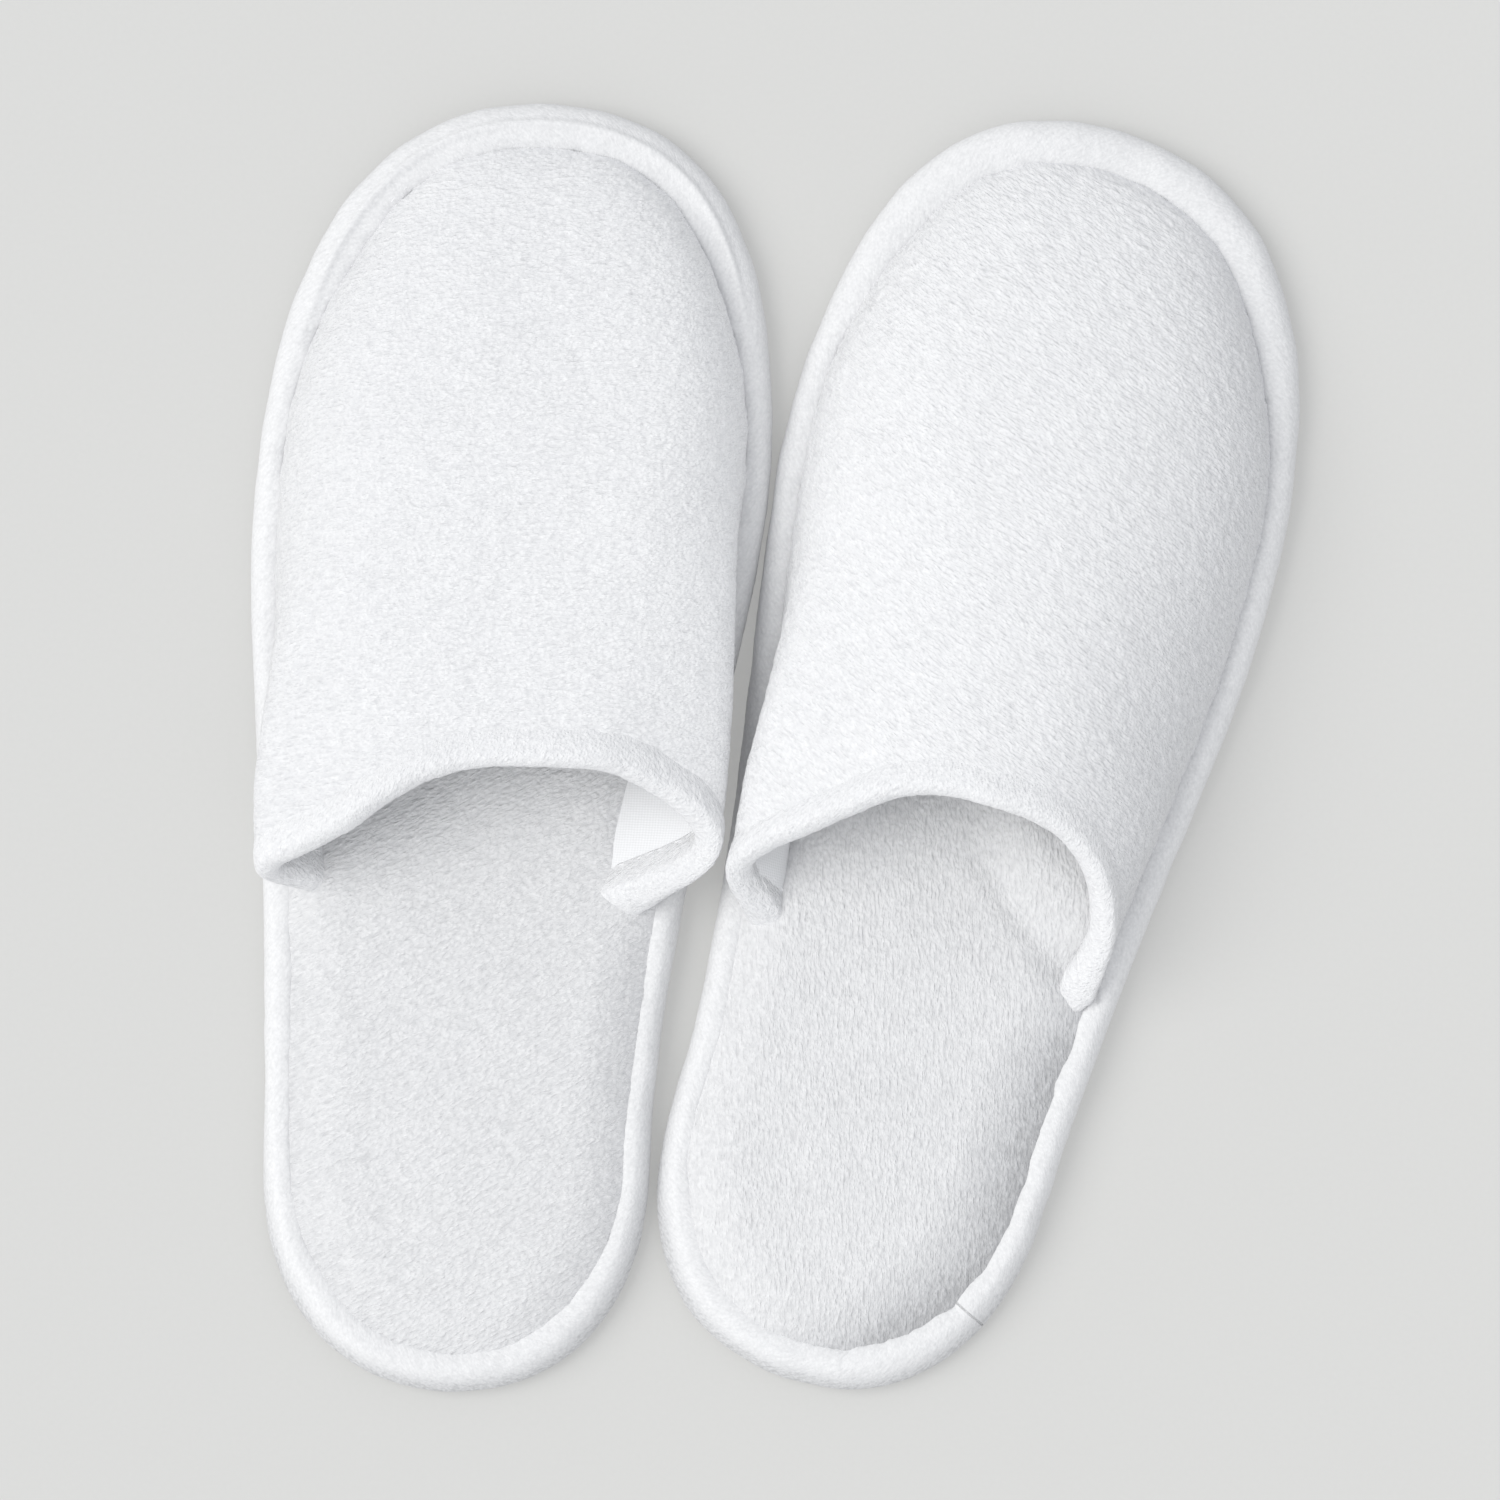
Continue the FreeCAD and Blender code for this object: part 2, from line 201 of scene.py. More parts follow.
def ease(value, low, high):
    """Smooth step from 0 at low to 1 at high."""
    t = np.clip((np.asarray(value, float) - low) / (high - low), 0, 1)
    return t * t * (3 - 2 * t)


def rim_width(y):
    """Width of the tape's upper leg, which is wider at the heel and the toe."""
    return (RIM_AT_SIDE + (RIM_AT_HEEL - RIM_AT_SIDE) * ease(-y, 90, 135)
            + (RIM_AT_TOE - RIM_AT_SIDE) * ease(y, 70, 125))


def two_sides(inset):
    """Lateral and medial side of the outline moved inwards by inset(y), as (x, y) points that rise in y."""
    point, inward = raw_outline(np.arange(OUTLINE_POINTS) / OUTLINE_POINTS)
    loop = point + inward * inset(point[:, 1])[:, None]
    low, high = int(np.argmin(loop[:, 1])), int(np.argmax(loop[:, 1]))
    count = (high - low) % len(loop)
    medial = loop[(low + np.arange(count + 1)) % len(loop)]
    lateral = loop[(low - np.arange(len(loop) - count + 1)) % len(loop)]
    return lateral, medial


def between(y, side, lateral, medial):
    """The x of points at y that lie between two edges: side is -1 on the lateral and 1 on the medial one."""
    left = np.interp(y, lateral[:, 1], lateral[:, 0])
    right = np.interp(y, medial[:, 1], medial[:, 0])
    return 0.5 * (left + right) + 0.5 * (right - left) * side


def chord_share(a, b):
    """Share of the way from the middle to the unit circle, across, for points (a, b) in the disc."""
    return np.clip(a / np.sqrt(np.maximum(1 - b * b, TINY)), -1, 1)


# ---- the vamp's shape -------------------------------------------------------------------------------------
def sided(side, pair):
    """The first of a pair on the lateral side, the second on the medial side."""
    return np.where(side > 0, pair[1], pair[0])


def opening_y(cross, s):
    """The y of the opening's edge."""
    shifted = cross - s["apex_off"] * (1 - cross ** 2)
    medial = s["apex_y"] - (s["apex_y"] - s["medial_y"]) * np.abs(shifted) ** s["medial_power"]
    lateral = s["apex_y"] - (s["apex_y"] - s["lateral_y"]) * np.abs(shifted) ** s["lateral_power"]
    return np.where(shifted > 0, medial, lateral)


def vamp_points(cross, along, depth, s, set_back=0.0):
    """Points of the vamp at a depth below its outside.

    cross runs from -1 on the lateral sewn edge to 1 on the medial one, along from 0, set_back in from the
    opening, to 1 on the toe's sewn edge. The grid is a square mapped to a disc, so it has no pole.
    """
    lateral, medial = two_sides(lambda y: rim_width(y) + SEW_GAP + depth)
    toe_y = medial[-1, 1]
    reach = toe_y - VAMP_WIDEST_Y
    squeeze = np.sqrt(1 - cross ** 2 / 2)
    start = (opening_y(cross, s) + set_back - VAMP_WIDEST_Y) / reach / squeeze
    row = start + (1 - start) * along
    b = row * squeeze
    a = cross * np.sqrt(1 - row ** 2 / 2)
    y = VAMP_WIDEST_Y + reach * b
    side = np.where(np.abs(cross) >= 1 - TINY, np.sign(cross), chord_share(a, b))
    x = between(y, side, lateral, medial)

    arch = np.sqrt(np.maximum(1 - np.abs(side) ** sided(side, s["flatness"]), 0))
    run = np.clip((y - VAMP_CROWN_Y) / (toe_y - VAMP_CROWN_Y), 0, 1)
    crown = (s["height"] - depth) * (1 - run ** CROWN_FALL) ** CROWN_ROUND
    leans = [most * ease(-y, -begins, -full) for most, begins, full in (s["lean_lateral"], s["lean_medial"])]
    belly = np.sin(np.pi * np.clip((arch - 0.1) / 0.9, 0, 1)) ** 2
    x = x + np.sign(side) * sided(side, leans) * belly * np.abs(side)
    corners = (1 - arch) ** 2 * np.exp(-np.maximum(y - opening_y(cross, s), 0) / 14.0)
    cove = sided(side, s["cove"]) * (depth / VAMP_LINING[1]) ** 2
    cove = cove * (1 - ease(arch, 0.15, 0.5)) * ease(-y, -40, 5)
    x = x - np.sign(side) * (sided(side, s["tuck"]) * corners + cove)
    return np.stack([x, y, BOARD_TOP + SEAM_LIFT + crown * arch], -1)


def spread(count, low=-1.0, high=1.0):
    """Values from low to high that crowd towards the ends where the surface is steep."""
    return np.sin(np.pi / 2 * np.linspace(low, high, count))


def unit(vectors):
    return vectors / np.maximum(np.linalg.norm(vectors, axis=-1, keepdims=True), TINY)


def lengths_along(line):
    """Length of a polyline up to each of its points."""
    return np.concatenate([[0], np.cumsum(np.linalg.norm(np.diff(line, axis=0), axis=1))])


# ---- mesh building ----------------------------------------------------------------------------------------
def place(points, s):
    """Slipper frame in millimetres to row frame in metres."""
    x, y, z = points[..., 0] * s["mirror"], points[..., 1], points[..., 2]
    t = math.radians(s["turn"])
    c, d = math.cos(t), math.sin(t)
    return np.stack([x * c + y * d + s["at"][0], y * c - x * d + s["at"][1], z], -1) * MM


def grid_normals(grid, wrap=False):
    """Unit normals of a (rows, columns, 3) grid; wrap closes it along its rows."""
    if wrap:
        across = np.roll(grid, -1, 0) - np.roll(grid, 1, 0)
    else:
        across = np.gradient(grid, axis=0)
    down = np.gradient(grid, axis=1)
    return unit(np.cross(across, down))


def quads(rows, columns, wrap_rows=False, wrap_columns=False, start=0):
    """Faces of a grid whose points are numbered row by row from start."""
    r = np.arange(rows if wrap_rows else rows - 1)
    c = np.arange(columns if wrap_columns else columns - 1)
    r, c = np.meshgrid(r, c, indexing="ij")
    r2, c2 = (r + 1) % rows, (c + 1) % columns
    f = np.stack([r * columns + c, r2 * columns + c, r2 * columns + c2, r * columns + c2], -1)
    return f.reshape(-1, 4) + start


def build(name, points, faces, s, marks=None):
    """Mesh object from points (N, 3) in millimetres and quad or triangle faces. marks become attributes."""
    mesh = bpy.data.meshes.new(name)
    if s["mirror"] < 0:
        faces = [f[:, ::-1] for f in faces]
    corners = np.concatenate([f.reshape(-1) for f in faces])
    sizes = np.concatenate([np.full(len(f), f.shape[1]) for f in faces])
    mesh.vertices.add(len(points))
    mesh.vertices.foreach_set("co", place(points, s).astype(np.float32).reshape(-1))
    mesh.loops.add(len(corners))
    mesh.loops.foreach_set("vertex_index", corners.astype(np.int32))
    mesh.polygons.add(len(sizes))
    mesh.polygons.foreach_set("loop_start", (np.cumsum(sizes) - sizes).astype(np.int32))
    mesh.polygons.foreach_set("loop_total", sizes.astype(np.int32))
    mesh.polygons.foreach_set("use_smooth", np.ones(len(sizes), bool))
    mesh.update(calc_edges=True)
    mesh.validate()
    for key, values in (marks or {}).items():
        if values.ndim == 1:
            mesh.attributes.new(key, "FLOAT", "POINT").data.foreach_set("value", values.astype(np.float32))
        else:
            mesh.attributes.new(key, "FLOAT_VECTOR", "POINT").data.foreach_set(
                "vector", values.astype(np.float32).reshape(-1))
    obj = bpy.data.objects.new(name, mesh)
    bpy.context.scene.collection.objects.link(obj)
    return obj


def skirt(rows, columns, upper, lower):
    """Faces between the rims of two equal grids whose points are numbered from upper and from lower."""
    rim = np.concatenate([np.arange(columns), np.arange(1, rows) * columns + columns - 1,
                          (rows - 1) * columns + np.arange(columns - 2, -1, -1),
                          np.arange(rows - 2, 0, -1) * columns])
    after = np.roll(rim, -1)
    return np.stack([rim + upper, after + upper, after + lower, rim + lower], -1)


def slab(top, bottom):
    """Closed solid between two grids of the same size: points and faces. The top faces along its normals."""
    rows, columns = top.shape[:2]
    count = rows * columns
    points = np.concatenate([top.reshape(-1, 3), bottom.reshape(-1, 3)])
    return points, [quads(rows, columns), quads(rows, columns, start=count)[:, ::-1],
                    skirt(rows, columns, 0, count)]


def cloth_marks(flat):
    """Flat coordinates of a grid in the three columns that the cloth attribute has."""
    return np.dstack([flat, np.zeros(flat.shape[:-1])]).reshape(-1, 3)


# ---- materials --------------------------------------------------------------------------------------------
class Shader:
    """Short hand for building one node material."""

    def __init__(self, name):
        self.material = bpy.data.materials.new(name)
        self.material.use_nodes = True
        self.tree = self.material.node_tree
        self.principled = self.tree.nodes["Principled BSDF"]

    def node(self, kind, **values):
        made = self.tree.nodes.new("ShaderNode" + kind)
        for key, value in values.items():
            if isinstance(value, bpy.types.NodeSocket):
                self.tree.links.new(value, made.inputs[key.replace("_", " ")])
            elif key.replace("_", " ") in made.inputs:
                made.inputs[key.replace("_", " ")].default_value = value
            else:
                setattr(made, key, value)
        return made

    def attribute(self, name):
        """A mesh attribute: cloth holds flat coordinates in millimetres; the other holds random tone with
        painted light and shade.
        """
        return self.node("Attribute", attribute_name=name)

    def math(self, operation, a, b=0.0):
        made = self.node("Math", operation=operation)
        for socket, value in zip(made.inputs, (a, b)):
            if isinstance(value, bpy.types.NodeSocket):
                self.tree.links.new(value, socket)
            else:
                socket.default_value = value
        return made.outputs[0]

    def mapped(self, vector, turn=0.0, scale=(1, 1, 1)):
        """Coordinates in which a pattern comes out scale times as long, along axes turned by degrees."""
        made = self.node("Mapping", vector_type="TEXTURE", Vector=vector)
        made.inputs["Rotation"].default_value = (0, 0, math.radians(turn))
        made.inputs["Scale"].default_value = scale
        return made.outputs["Vector"]

    def blend(self, factor, low, high):
        """Colour from low to high by a factor."""
        ramp = self.node("ValToRGB", Fac=factor)
        ramp.color_ramp.elements[0].color = (*low, 1)
        ramp.color_ramp.elements[1].color = (*high, 1)
        return ramp

    def bump(self, height, distance):
        return self.node("Bump", Height=height, Distance=distance, Strength=1.0).outputs["Normal"]

    def link(self, output, socket):
        self.tree.links.new(output, self.principled.inputs[socket])

    def set(self, **values):
        for key, value in values.items():
            self.principled.inputs[key.replace("_", " ")].default_value = value


PILE_WANDER = 7.0
PILE_CLOUDS = 16.0
# Positions on the plush's colour ramp. The valley colour is painted shade between the tufts; below it, the
# deep colour, DEEP_SHADE times the valley colour, is painted shade for the tape's low outer side and the
# insole's sloping heel.
DEEP, VALLEY, CROWN = 0.02, 0.28, 0.72
DEEP_SHADE = 0.74


def plush(name, valley, crown, pile_size, nap_turn, nap_stretch, depth):
    """Fibre plush: tufts broken into fine fibres that lie along the nap, with painted shade between the
    tufts.
    """
    sh = Shader(name)
    cloth = sh.attribute("cloth").outputs["Vector"]
    tone_and_shade = sh.attribute("tone_and_shade").outputs["Fac"]
    wander = sh.node("TexNoise", Vector=cloth, Scale=1 / PILE_WANDER, Detail=1.0)
    bent = sh.node("VectorMath", operation="MULTIPLY_ADD")
    sh.tree.links.new(wander.outputs["Color"], bent.inputs[0])
    bent.inputs[1].default_value = (1.1, 1.1, 0)
    sh.tree.links.new(cloth, bent.inputs[2])
    lay = sh.mapped(bent.outputs[0], nap_turn, (nap_stretch, 1, 1))
    specks = sh.node("TexVoronoi", Vector=lay, feature="SMOOTH_F1", Scale=1 / pile_size, Smoothness=0.3,
                     Randomness=1.0)
    strand = sh.mapped(bent.outputs[0], nap_turn, (2.6 * nap_stretch, 1, 1))
    fibre = sh.node("TexNoise", Vector=strand, Scale=0.9 / pile_size, Detail=3.0, Roughness=0.7)
    broad = sh.node("TexNoise", Vector=cloth, Scale=1 / PILE_CLOUDS, Detail=2.0)
    tip = sh.math("SUBTRACT", 0.8, specks.outputs["Distance"])
    height = sh.math("ADD", sh.math("MULTIPLY", tip, 0.45), sh.math("MULTIPLY", fibre.outputs["Fac"], 1.1))
    shade = sh.math("ADD", sh.math("MULTIPLY", height, 0.55), sh.math("MULTIPLY", tone_and_shade, 0.22))
    shade = sh.math("ADD", shade, sh.math("MULTIPLY", broad.outputs["Fac"], 0.08))
    colour = sh.blend(shade, valley, crown)
    colour.color_ramp.elements[0].position = VALLEY
    colour.color_ramp.elements[1].position = CROWN
    colour.color_ramp.elements.new(DEEP).color = (*(DEEP_SHADE * part for part in valley), 1)
    sh.link(colour.outputs["Color"], "Base Color")
    sh.link(sh.math("ADD", 0.8, sh.math("MULTIPLY", fibre.outputs["Fac"], 0.18)), "Roughness")
    sh.link(sh.bump(height, depth * MM), "Normal")
    sh.set(Sheen_Weight=0.12, Sheen_Roughness=0.45, Specular_IOR_Level=0.15)
    return sh.material


def knit(name):
    """Smooth fine-gauge knit: columns of stitches with a slight sheen."""
    sh = Shader(name)
    cloth = sh.attribute("cloth").outputs["Vector"]
    columns = sh.node("TexWave", Vector=sh.mapped(cloth, 0, (1, 4, 1)), Scale=0.42, Distortion=1.2,
                      Detail=2.0)
    loops = sh.node("TexWave", Vector=cloth, bands_direction="Y", Scale=0.55, Distortion=1.5, Detail=1.0)
    height = sh.math("ADD", sh.math("MULTIPLY", columns.outputs["Fac"], 0.6),
                     sh.math("MULTIPLY", loops.outputs["Fac"], 0.4))
    colour = sh.blend(height, (0.79, 0.795, 0.808), (0.85, 0.855, 0.867))
    sh.link(colour.outputs["Color"], "Base Color")
    sh.link(sh.math("ADD", 0.62, sh.math("MULTIPLY", height, 0.12)), "Roughness")
    sh.link(sh.bump(height, 0.04 * MM), "Normal")
    sh.set(Sheen_Weight=0.2, Sheen_Roughness=0.4, Specular_IOR_Level=0.2)
    return sh.material


def porous(name, dark, light, size, depth, roughness):
    """Foam or felt: fine pores at one size, from the object's own coordinates."""
    sh = Shader(name)
    where = sh.node("TexCoord").outputs["Object"]
    cells = sh.node("TexVoronoi", Vector=where, Scale=1 / (size * MM), Randomness=1.0)
    cloud = sh.node("TexNoise", Vector=where, Scale=60.0, Detail=4.0)
    mix = sh.math("ADD", sh.math("MULTIPLY", cells.outputs["Distance"], 0.6),
                  sh.math("MULTIPLY", cloud.outputs["Fac"], 0.4))
    sh.link(sh.blend(mix, dark, light).outputs["Color"], "Base Color")
    sh.link(sh.math("ADD", roughness, sh.math("MULTIPLY", cloud.outputs["Fac"], 0.1)), "Roughness")
    sh.link(sh.bump(cells.outputs["Distance"], depth * MM), "Normal")
    sh.set(Specular_IOR_Level=0.3)
    return sh.material


def spun(name):
    """Twisted white thread."""
    sh = Shader(name)
    where = sh.node("TexCoord").outputs["Object"]
    twist = sh.node("TexWave", Vector=sh.mapped(where, 35), Scale=900.0, Distortion=1.0)
    colour = sh.blend(twist.outputs["Fac"], (0.8, 0.8, 0.81), (0.92, 0.92, 0.93))
    sh.link(colour.outputs["Color"], "Base Color")
    sh.link(sh.math("ADD", 0.5, sh.math("MULTIPLY", twist.outputs["Fac"], 0.2)), "Roughness")
    sh.link(sh.bump(twist.outputs["Fac"], 0.05 * MM), "Normal")
    sh.set(Sheen_Weight=0.15)
    return sh.material


# ---- the pieces -------------------------------------------------------------------------------------------
def undulation(points, s):
    """Slow unevenness of hand-laid padding, in millimetres, the same through all of the vamp's layers."""
    flat = points[..., :2]
    return 0.55 * noise(flat, 38.0, s["seed"]) + 0.3 * noise(flat, 17.0, s["seed"] + 1)


def vamp_sheet(cross, along, depth, s, set_back):
    """Grid of the vamp at one depth with its unevenness, which fades at the sewn edge, and its normals."""
    c, a = np.meshgrid(cross, along, indexing="ij")
    grid = vamp_points(c, a, depth, s, set_back)
    normals = grid_normals(grid)
    normals *= np.sign(np.sum(normals[..., 2]))
    fade = np.minimum(ease(1 - np.abs(c), 0, 0.1), ease(1 - a, 0, 0.06))[..., None]
    return grid + normals * undulation(grid, s)[..., None] * fade, normals


def surface_run(grid):
    """Flat coordinates that follow the surface: distance across from the middle line, and along."""
    step = np.linalg.norm(np.diff(grid, axis=0), axis=-1)
    across = np.concatenate([np.zeros((1, grid.shape[1])), np.cumsum(step, axis=0)])
    across -= across[grid.shape[0] // 2]
    return np.stack([across, grid[..., 1]], -1)


def make_vamp_outer(side, s):
    """Plush skin of the vamp: tufts and fibres, painted lighter and darker on its two sides, and puckered at
    its seam.
    """
    cross, along = spread(184), spread(256, 0.0, 1.0)
    set_back = 1.5
    grid, normals = vamp_sheet(cross, along, VAMP_SKIN[0], s, set_back)
    flat = surface_run(grid)
    lay = turned(flat, s["nap"], 1.7)
    clumps = tufts(lay, 1.25, s["seed"])
    fine = noise(lay, 0.9, s["seed"] + 3)
    rub = layered(flat, 22.0, s["seed"] + 9, 2)
    # Painted shade between the tufts: lighter on each tuft and darker between them, with random tone on top.
    tone_and_shade = 0.5 + 0.2 * (clumps - 0.5) + 0.15 * fine + 0.06 * rub
    lift = s["tuft"] * (0.16 * clumps + 0.1 * fine) + 0.08 * noise(flat, 4.0, s["seed"] + 4)
    # Painted light and shade: each side of the vamp is coloured darker for a share below 0 and lighter for
    # one above 0.
    painted_sides = [share * ease(way * cross[:, None], 0.2, 0.85) for share, way in zip(s["side_shade"], (-1, 1))]
    tone_and_shade = tone_and_shade + painted_sides[0] + painted_sides[1]

    rim = np.minimum(np.abs(flat[..., 0] - flat[[0], :, 0]), np.abs(flat[..., 0] - flat[[-1], :, 0]))
    toe = np.linalg.norm(grid - grid[:, [-1]], axis=-1)
    edge = np.minimum(rim, toe)
    rim_radius = 70.0
    round_rim = np.arctan2(grid[..., 1] - VAMP_WIDEST_Y, grid[..., 0]) * rim_radius
    pucker = noise(np.stack([round_rim, 0 * edge], -1), 4.6, s["seed"] + 6)
    lift = lift + 0.36 * pucker * np.exp(-edge / 5.0) * ease(edge, 0, 1.5)
    frayed = noise(np.stack([round_rim, edge], -1), 1.5, s["seed"] + 7)
    lift = lift + 0.4 * frayed * np.exp(-edge / 2.0) * ease(edge, 0, 0.8)

    inner, _ = vamp_sheet(cross, along, VAMP_SKIN[1], s, set_back)
    points, faces = slab(grid + normals * lift[..., None], inner)
    marks = {"tone_and_shade": np.concatenate([tone_and_shade.reshape(-1), np.zeros(tone_and_shade.size)]),
             "cloth": np.concatenate([cloth_marks(flat)] * 2)}
    return build(side + "_vamp_plush", points, faces, s, marks)


def make_vamp_layer(side, s, name, depths, counts, set_back):
    """Plain layer of the vamp between two depths: the padding or the lining."""
    cross, along = spread(counts[0]), spread(counts[1], 0.0, 1.0)
    top, _ = vamp_sheet(cross, along, depths[0], s, set_back)
    bottom, _ = vamp_sheet(cross, along, depths[1], s, set_back)
    points, faces = slab(top, bottom)
    marks = {"cloth": np.concatenate([cloth_marks(surface_run(bottom))] * 2)}
    return build(side + name, points, faces, s, marks)


def tube_faces(stations, around):
    """Side faces and the two end fans of a tube whose last two points are the ends' middles."""
    count = stations * around
    ring = np.arange(around)
    after = (ring + 1) % around
    first = np.stack([after, ring, np.full(around, count)], -1)
    last = np.stack([ring, after, np.full(around, count + 1)], -1)
    last[:, :2] += (stations - 1) * around
    return [quads(stations, around, wrap_columns=True)[:, ::-1], first[:, ::-1], last[:, ::-1]]


def edge_frame(s, count):
    """The opening's edge at even stations, just short of its corners.

    Returns the middle of the vamp's thickness there, the outward and toewards directions, half the
    thickness, the length so far, and a function that gives the vamp's points at a depth and a distance in
    from the edge.
    """
    cross = spread(900) * 0.999
    line = vamp_points(cross, 0 * cross, 0.0, s)
    run = lengths_along(line)
    even = np.linspace(0, run[-1], count)
    cross = np.interp(even, run, cross)
    zero = 0 * cross
    skin = vamp_points(cross, zero, 0.0, s)
    under = vamp_points(cross, zero, VAMP_LINING[1], s)
    probe = 2.0
    ahead = vamp_points(cross, zero, 0.0, s, probe) - skin
    outward = unit(skin - under)
    stretch = np.linalg.norm(ahead, axis=1) / probe
    uneven = outward * (ease(1 - np.abs(cross), 0, 0.1) * undulation(skin, s))[:, None]

    def inside(depth, distance):
        return vamp_points(cross, zero, depth, s, distance / stretch) + uneven
    toewards = unit(ahead - outward * np.sum(ahead * outward, axis=1, keepdims=True))
    half = 0.5 * np.linalg.norm(skin - under, axis=1)
    return 0.5 * (skin + under) + uneven, outward, toewards, half, even, inside


def make_hem(side, s):
    """Turned plush edge: it grows out of the vamp's fleece, rolls over the edge and lies flat inside.

    Its closed section is the lip on the vamp, the roll, the flap on the lining, and the same way back
    inside the cloth.
    """
    lip_length, flap_length, join = 9.0, 7.0, 0.6
    roll_points, back_points = 20, 7
    widest_roll = 2.9
    middle, outward, toewards, half, run, inside = edge_frame(s, EDGE_STATIONS)
    plump = 0.75 + 0.35 * np.abs(np.sin(np.pi * run / run[-1])) ** 0.7
    plump = plump + 0.25 * noise(np.stack([run, 0 * run], -1), 12.0, s["seed"] + 20)
    out = outward[:, None]
    from_end = np.minimum(run, run[-1] - run)
    taper = 0.4 + 0.6 * np.sqrt(ease(from_end, -1.5, 6))
    roll = ((half + plump) * taper)[:, None]

    def strip(depth, distances, offset):
        rows = [inside(depth, d) + outward * rise[:, None] for d, rise in zip(distances, offset)]
        return np.stack(rows, 1)

    def turn(angles, share):
        angles = angles[None, :, None]
        bulge = np.minimum(roll, widest_roll)[..., None]
        return middle[:, None] + share * (out * roll[..., None] * np.cos(angles)
                                          - toewards[:, None] * bulge * np.sin(angles))
    lip = np.linspace(lip_length, join, 17)
    flap = np.linspace(join, flap_length, 13)
    rise = [plump * (1 - ease(d, 0, 8)) - 0.6 * ease(d, 3, lip_length) for d in lip]
    fall = [0.55 * ease(d, 4, flap_length) - plump * (1 - ease(d, 0.5, flap_length)) for d in flap]
    back, top = flap[::-2], lip[::-3]
    grid = np.concatenate([
        strip(VAMP_SKIN[0], lip, rise),
        turn(np.linspace(0, np.pi, roll_points), 1.0),
        strip(VAMP_LINING[1], flap, fall),
        strip(VAMP_LINING[1], back, [0.3 + 0 * plump] * len(back)),
        turn(np.linspace(np.pi, 0, back_points), 0.5),
        strip(VAMP_SKIN[0], top, [-1.0 + 0 * plump] * len(top)),
    ], axis=1)
    around = grid.shape[1]
    shown = len(lip) + roll_points + len(flap)
    relief = np.where(np.arange(around) < shown, 1.0, 0.0)
    relief[:len(lip)] = 0.2 + 0.8 * ease(lip_length - lip, 1, 7)
    normals = grid_normals(grid)
    on_lip = 8
    normals *= np.sign(np.sum(normals[:, on_lip] * outward))
    step = np.linalg.norm(np.diff(grid, axis=1, append=grid[:, :1]), axis=-1)
    over = np.cumsum(step, axis=1) - step
    flat = np.stack(np.broadcast_arrays(run[:, None], over), -1)
    clumps = tufts(turned(flat, 20, 1.2), 1.3, s["seed"] + 21)
    fine = noise(flat, 0.75, s["seed"] + 22)
    lift = 0.17 * clumps + 0.12 * fine + 0.16 * noise(flat, 5.0, s["seed"] + 23)
    grid = grid + normals * (lift * relief)[..., None]
    points = np.concatenate([grid.reshape(-1, 3), grid[[0, -1]].mean(1)])
    # Painted shade between the tufts: lighter on each tuft and darker between them, with random tone on top.
    marks = {"tone_and_shade": np.append((0.5 + 0.22 * (clumps - 0.5) + 0.12 * fine).reshape(-1), [0.5, 0.5]),
             "cloth": np.concatenate([cloth_marks(flat), np.zeros((2, 3))])}
    return build(side + "_hem_roll", points, tube_faces(EDGE_STATIONS, around), s, marks)


def bezier(p0, p1, p2, p3, count):
    """Points of N cubic arcs at once, (N, count, 2), each without its last point. Every p is (N, 2)."""
    t = (np.arange(count) / count)[None, :, None]
    p0, p1, p2, p3 = (p[:, None] for p in (p0, p1, p2, p3))
    return (1 - t) ** 3 * p0 + 3 * (1 - t) ** 2 * t * p1 + 3 * (1 - t) * t * t * p2 + t ** 3 * p3


def binding_section(width, height, flare):
    """The tape's closed section at every station, as (inset, z), and 1 for each point that carries relief.

    It runs over the roll, down its outer side, under the sole and back along the tape's inner face. Where
    flare is 0 the outer side bulges, and where it is 1 the side slopes evenly out to the ground.
    """
    def at(inset, z):
        return np.stack(np.broadcast_arrays(inset + 0 * width, z + 0 * width), -1)
    crest = 0.6 * width
    low = TAPE_LOWER_WIDTH
    parts = [
        (at(width, height - 2.1), at(width - 0.1, height - 0.8), at(crest + 0.3 * width, height),
         at(crest, height), 15, 1),
        (at(crest, height), at((0.42 + 0.2 * flare) * crest, height),
         at(0.24 * flare * crest, (0.74 - 0.06 * flare) * height), at(0, 0.4 * height), 18, 1),
        (at(0, 0.4 * height), at(0, 0.12 * height), at(0.9, 0), at(2.6, 0), 11, 1),
        (at(2.6, 0), at(4, 0), at(5.5, 0), at(low, 0), 7, 0),
        (at(low, 0), at(low, 0.4), at(low, 0.8), at(low, TAPE), 1, 0),
        (at(low, TAPE), at(5, TAPE), at(4, TAPE), at(2.8, TAPE), 3, 0),
        (at(2.8, TAPE), at(1.5, TAPE), at(TAPE, 2), at(TAPE, 0.46 * height), 4, 0),
        (at(TAPE, 0.46 * height), at(TAPE, height - 2.3), at(0.6 * crest, height - TAPE),
         at(crest + 0.5, height - TAPE), 4, 0),
        (at(crest + 0.5, height - TAPE), at(crest + 1, height - 1.4), at(width - 1, height - 2.4),
         at(width - 0.4, height - 3.2), 3, 0),
    ]
    section = np.concatenate([bezier(*part[:5]) for part in parts], axis=1)
    relief = np.concatenate([np.full(part[4], float(part[5])) for part in parts])
    return section, relief


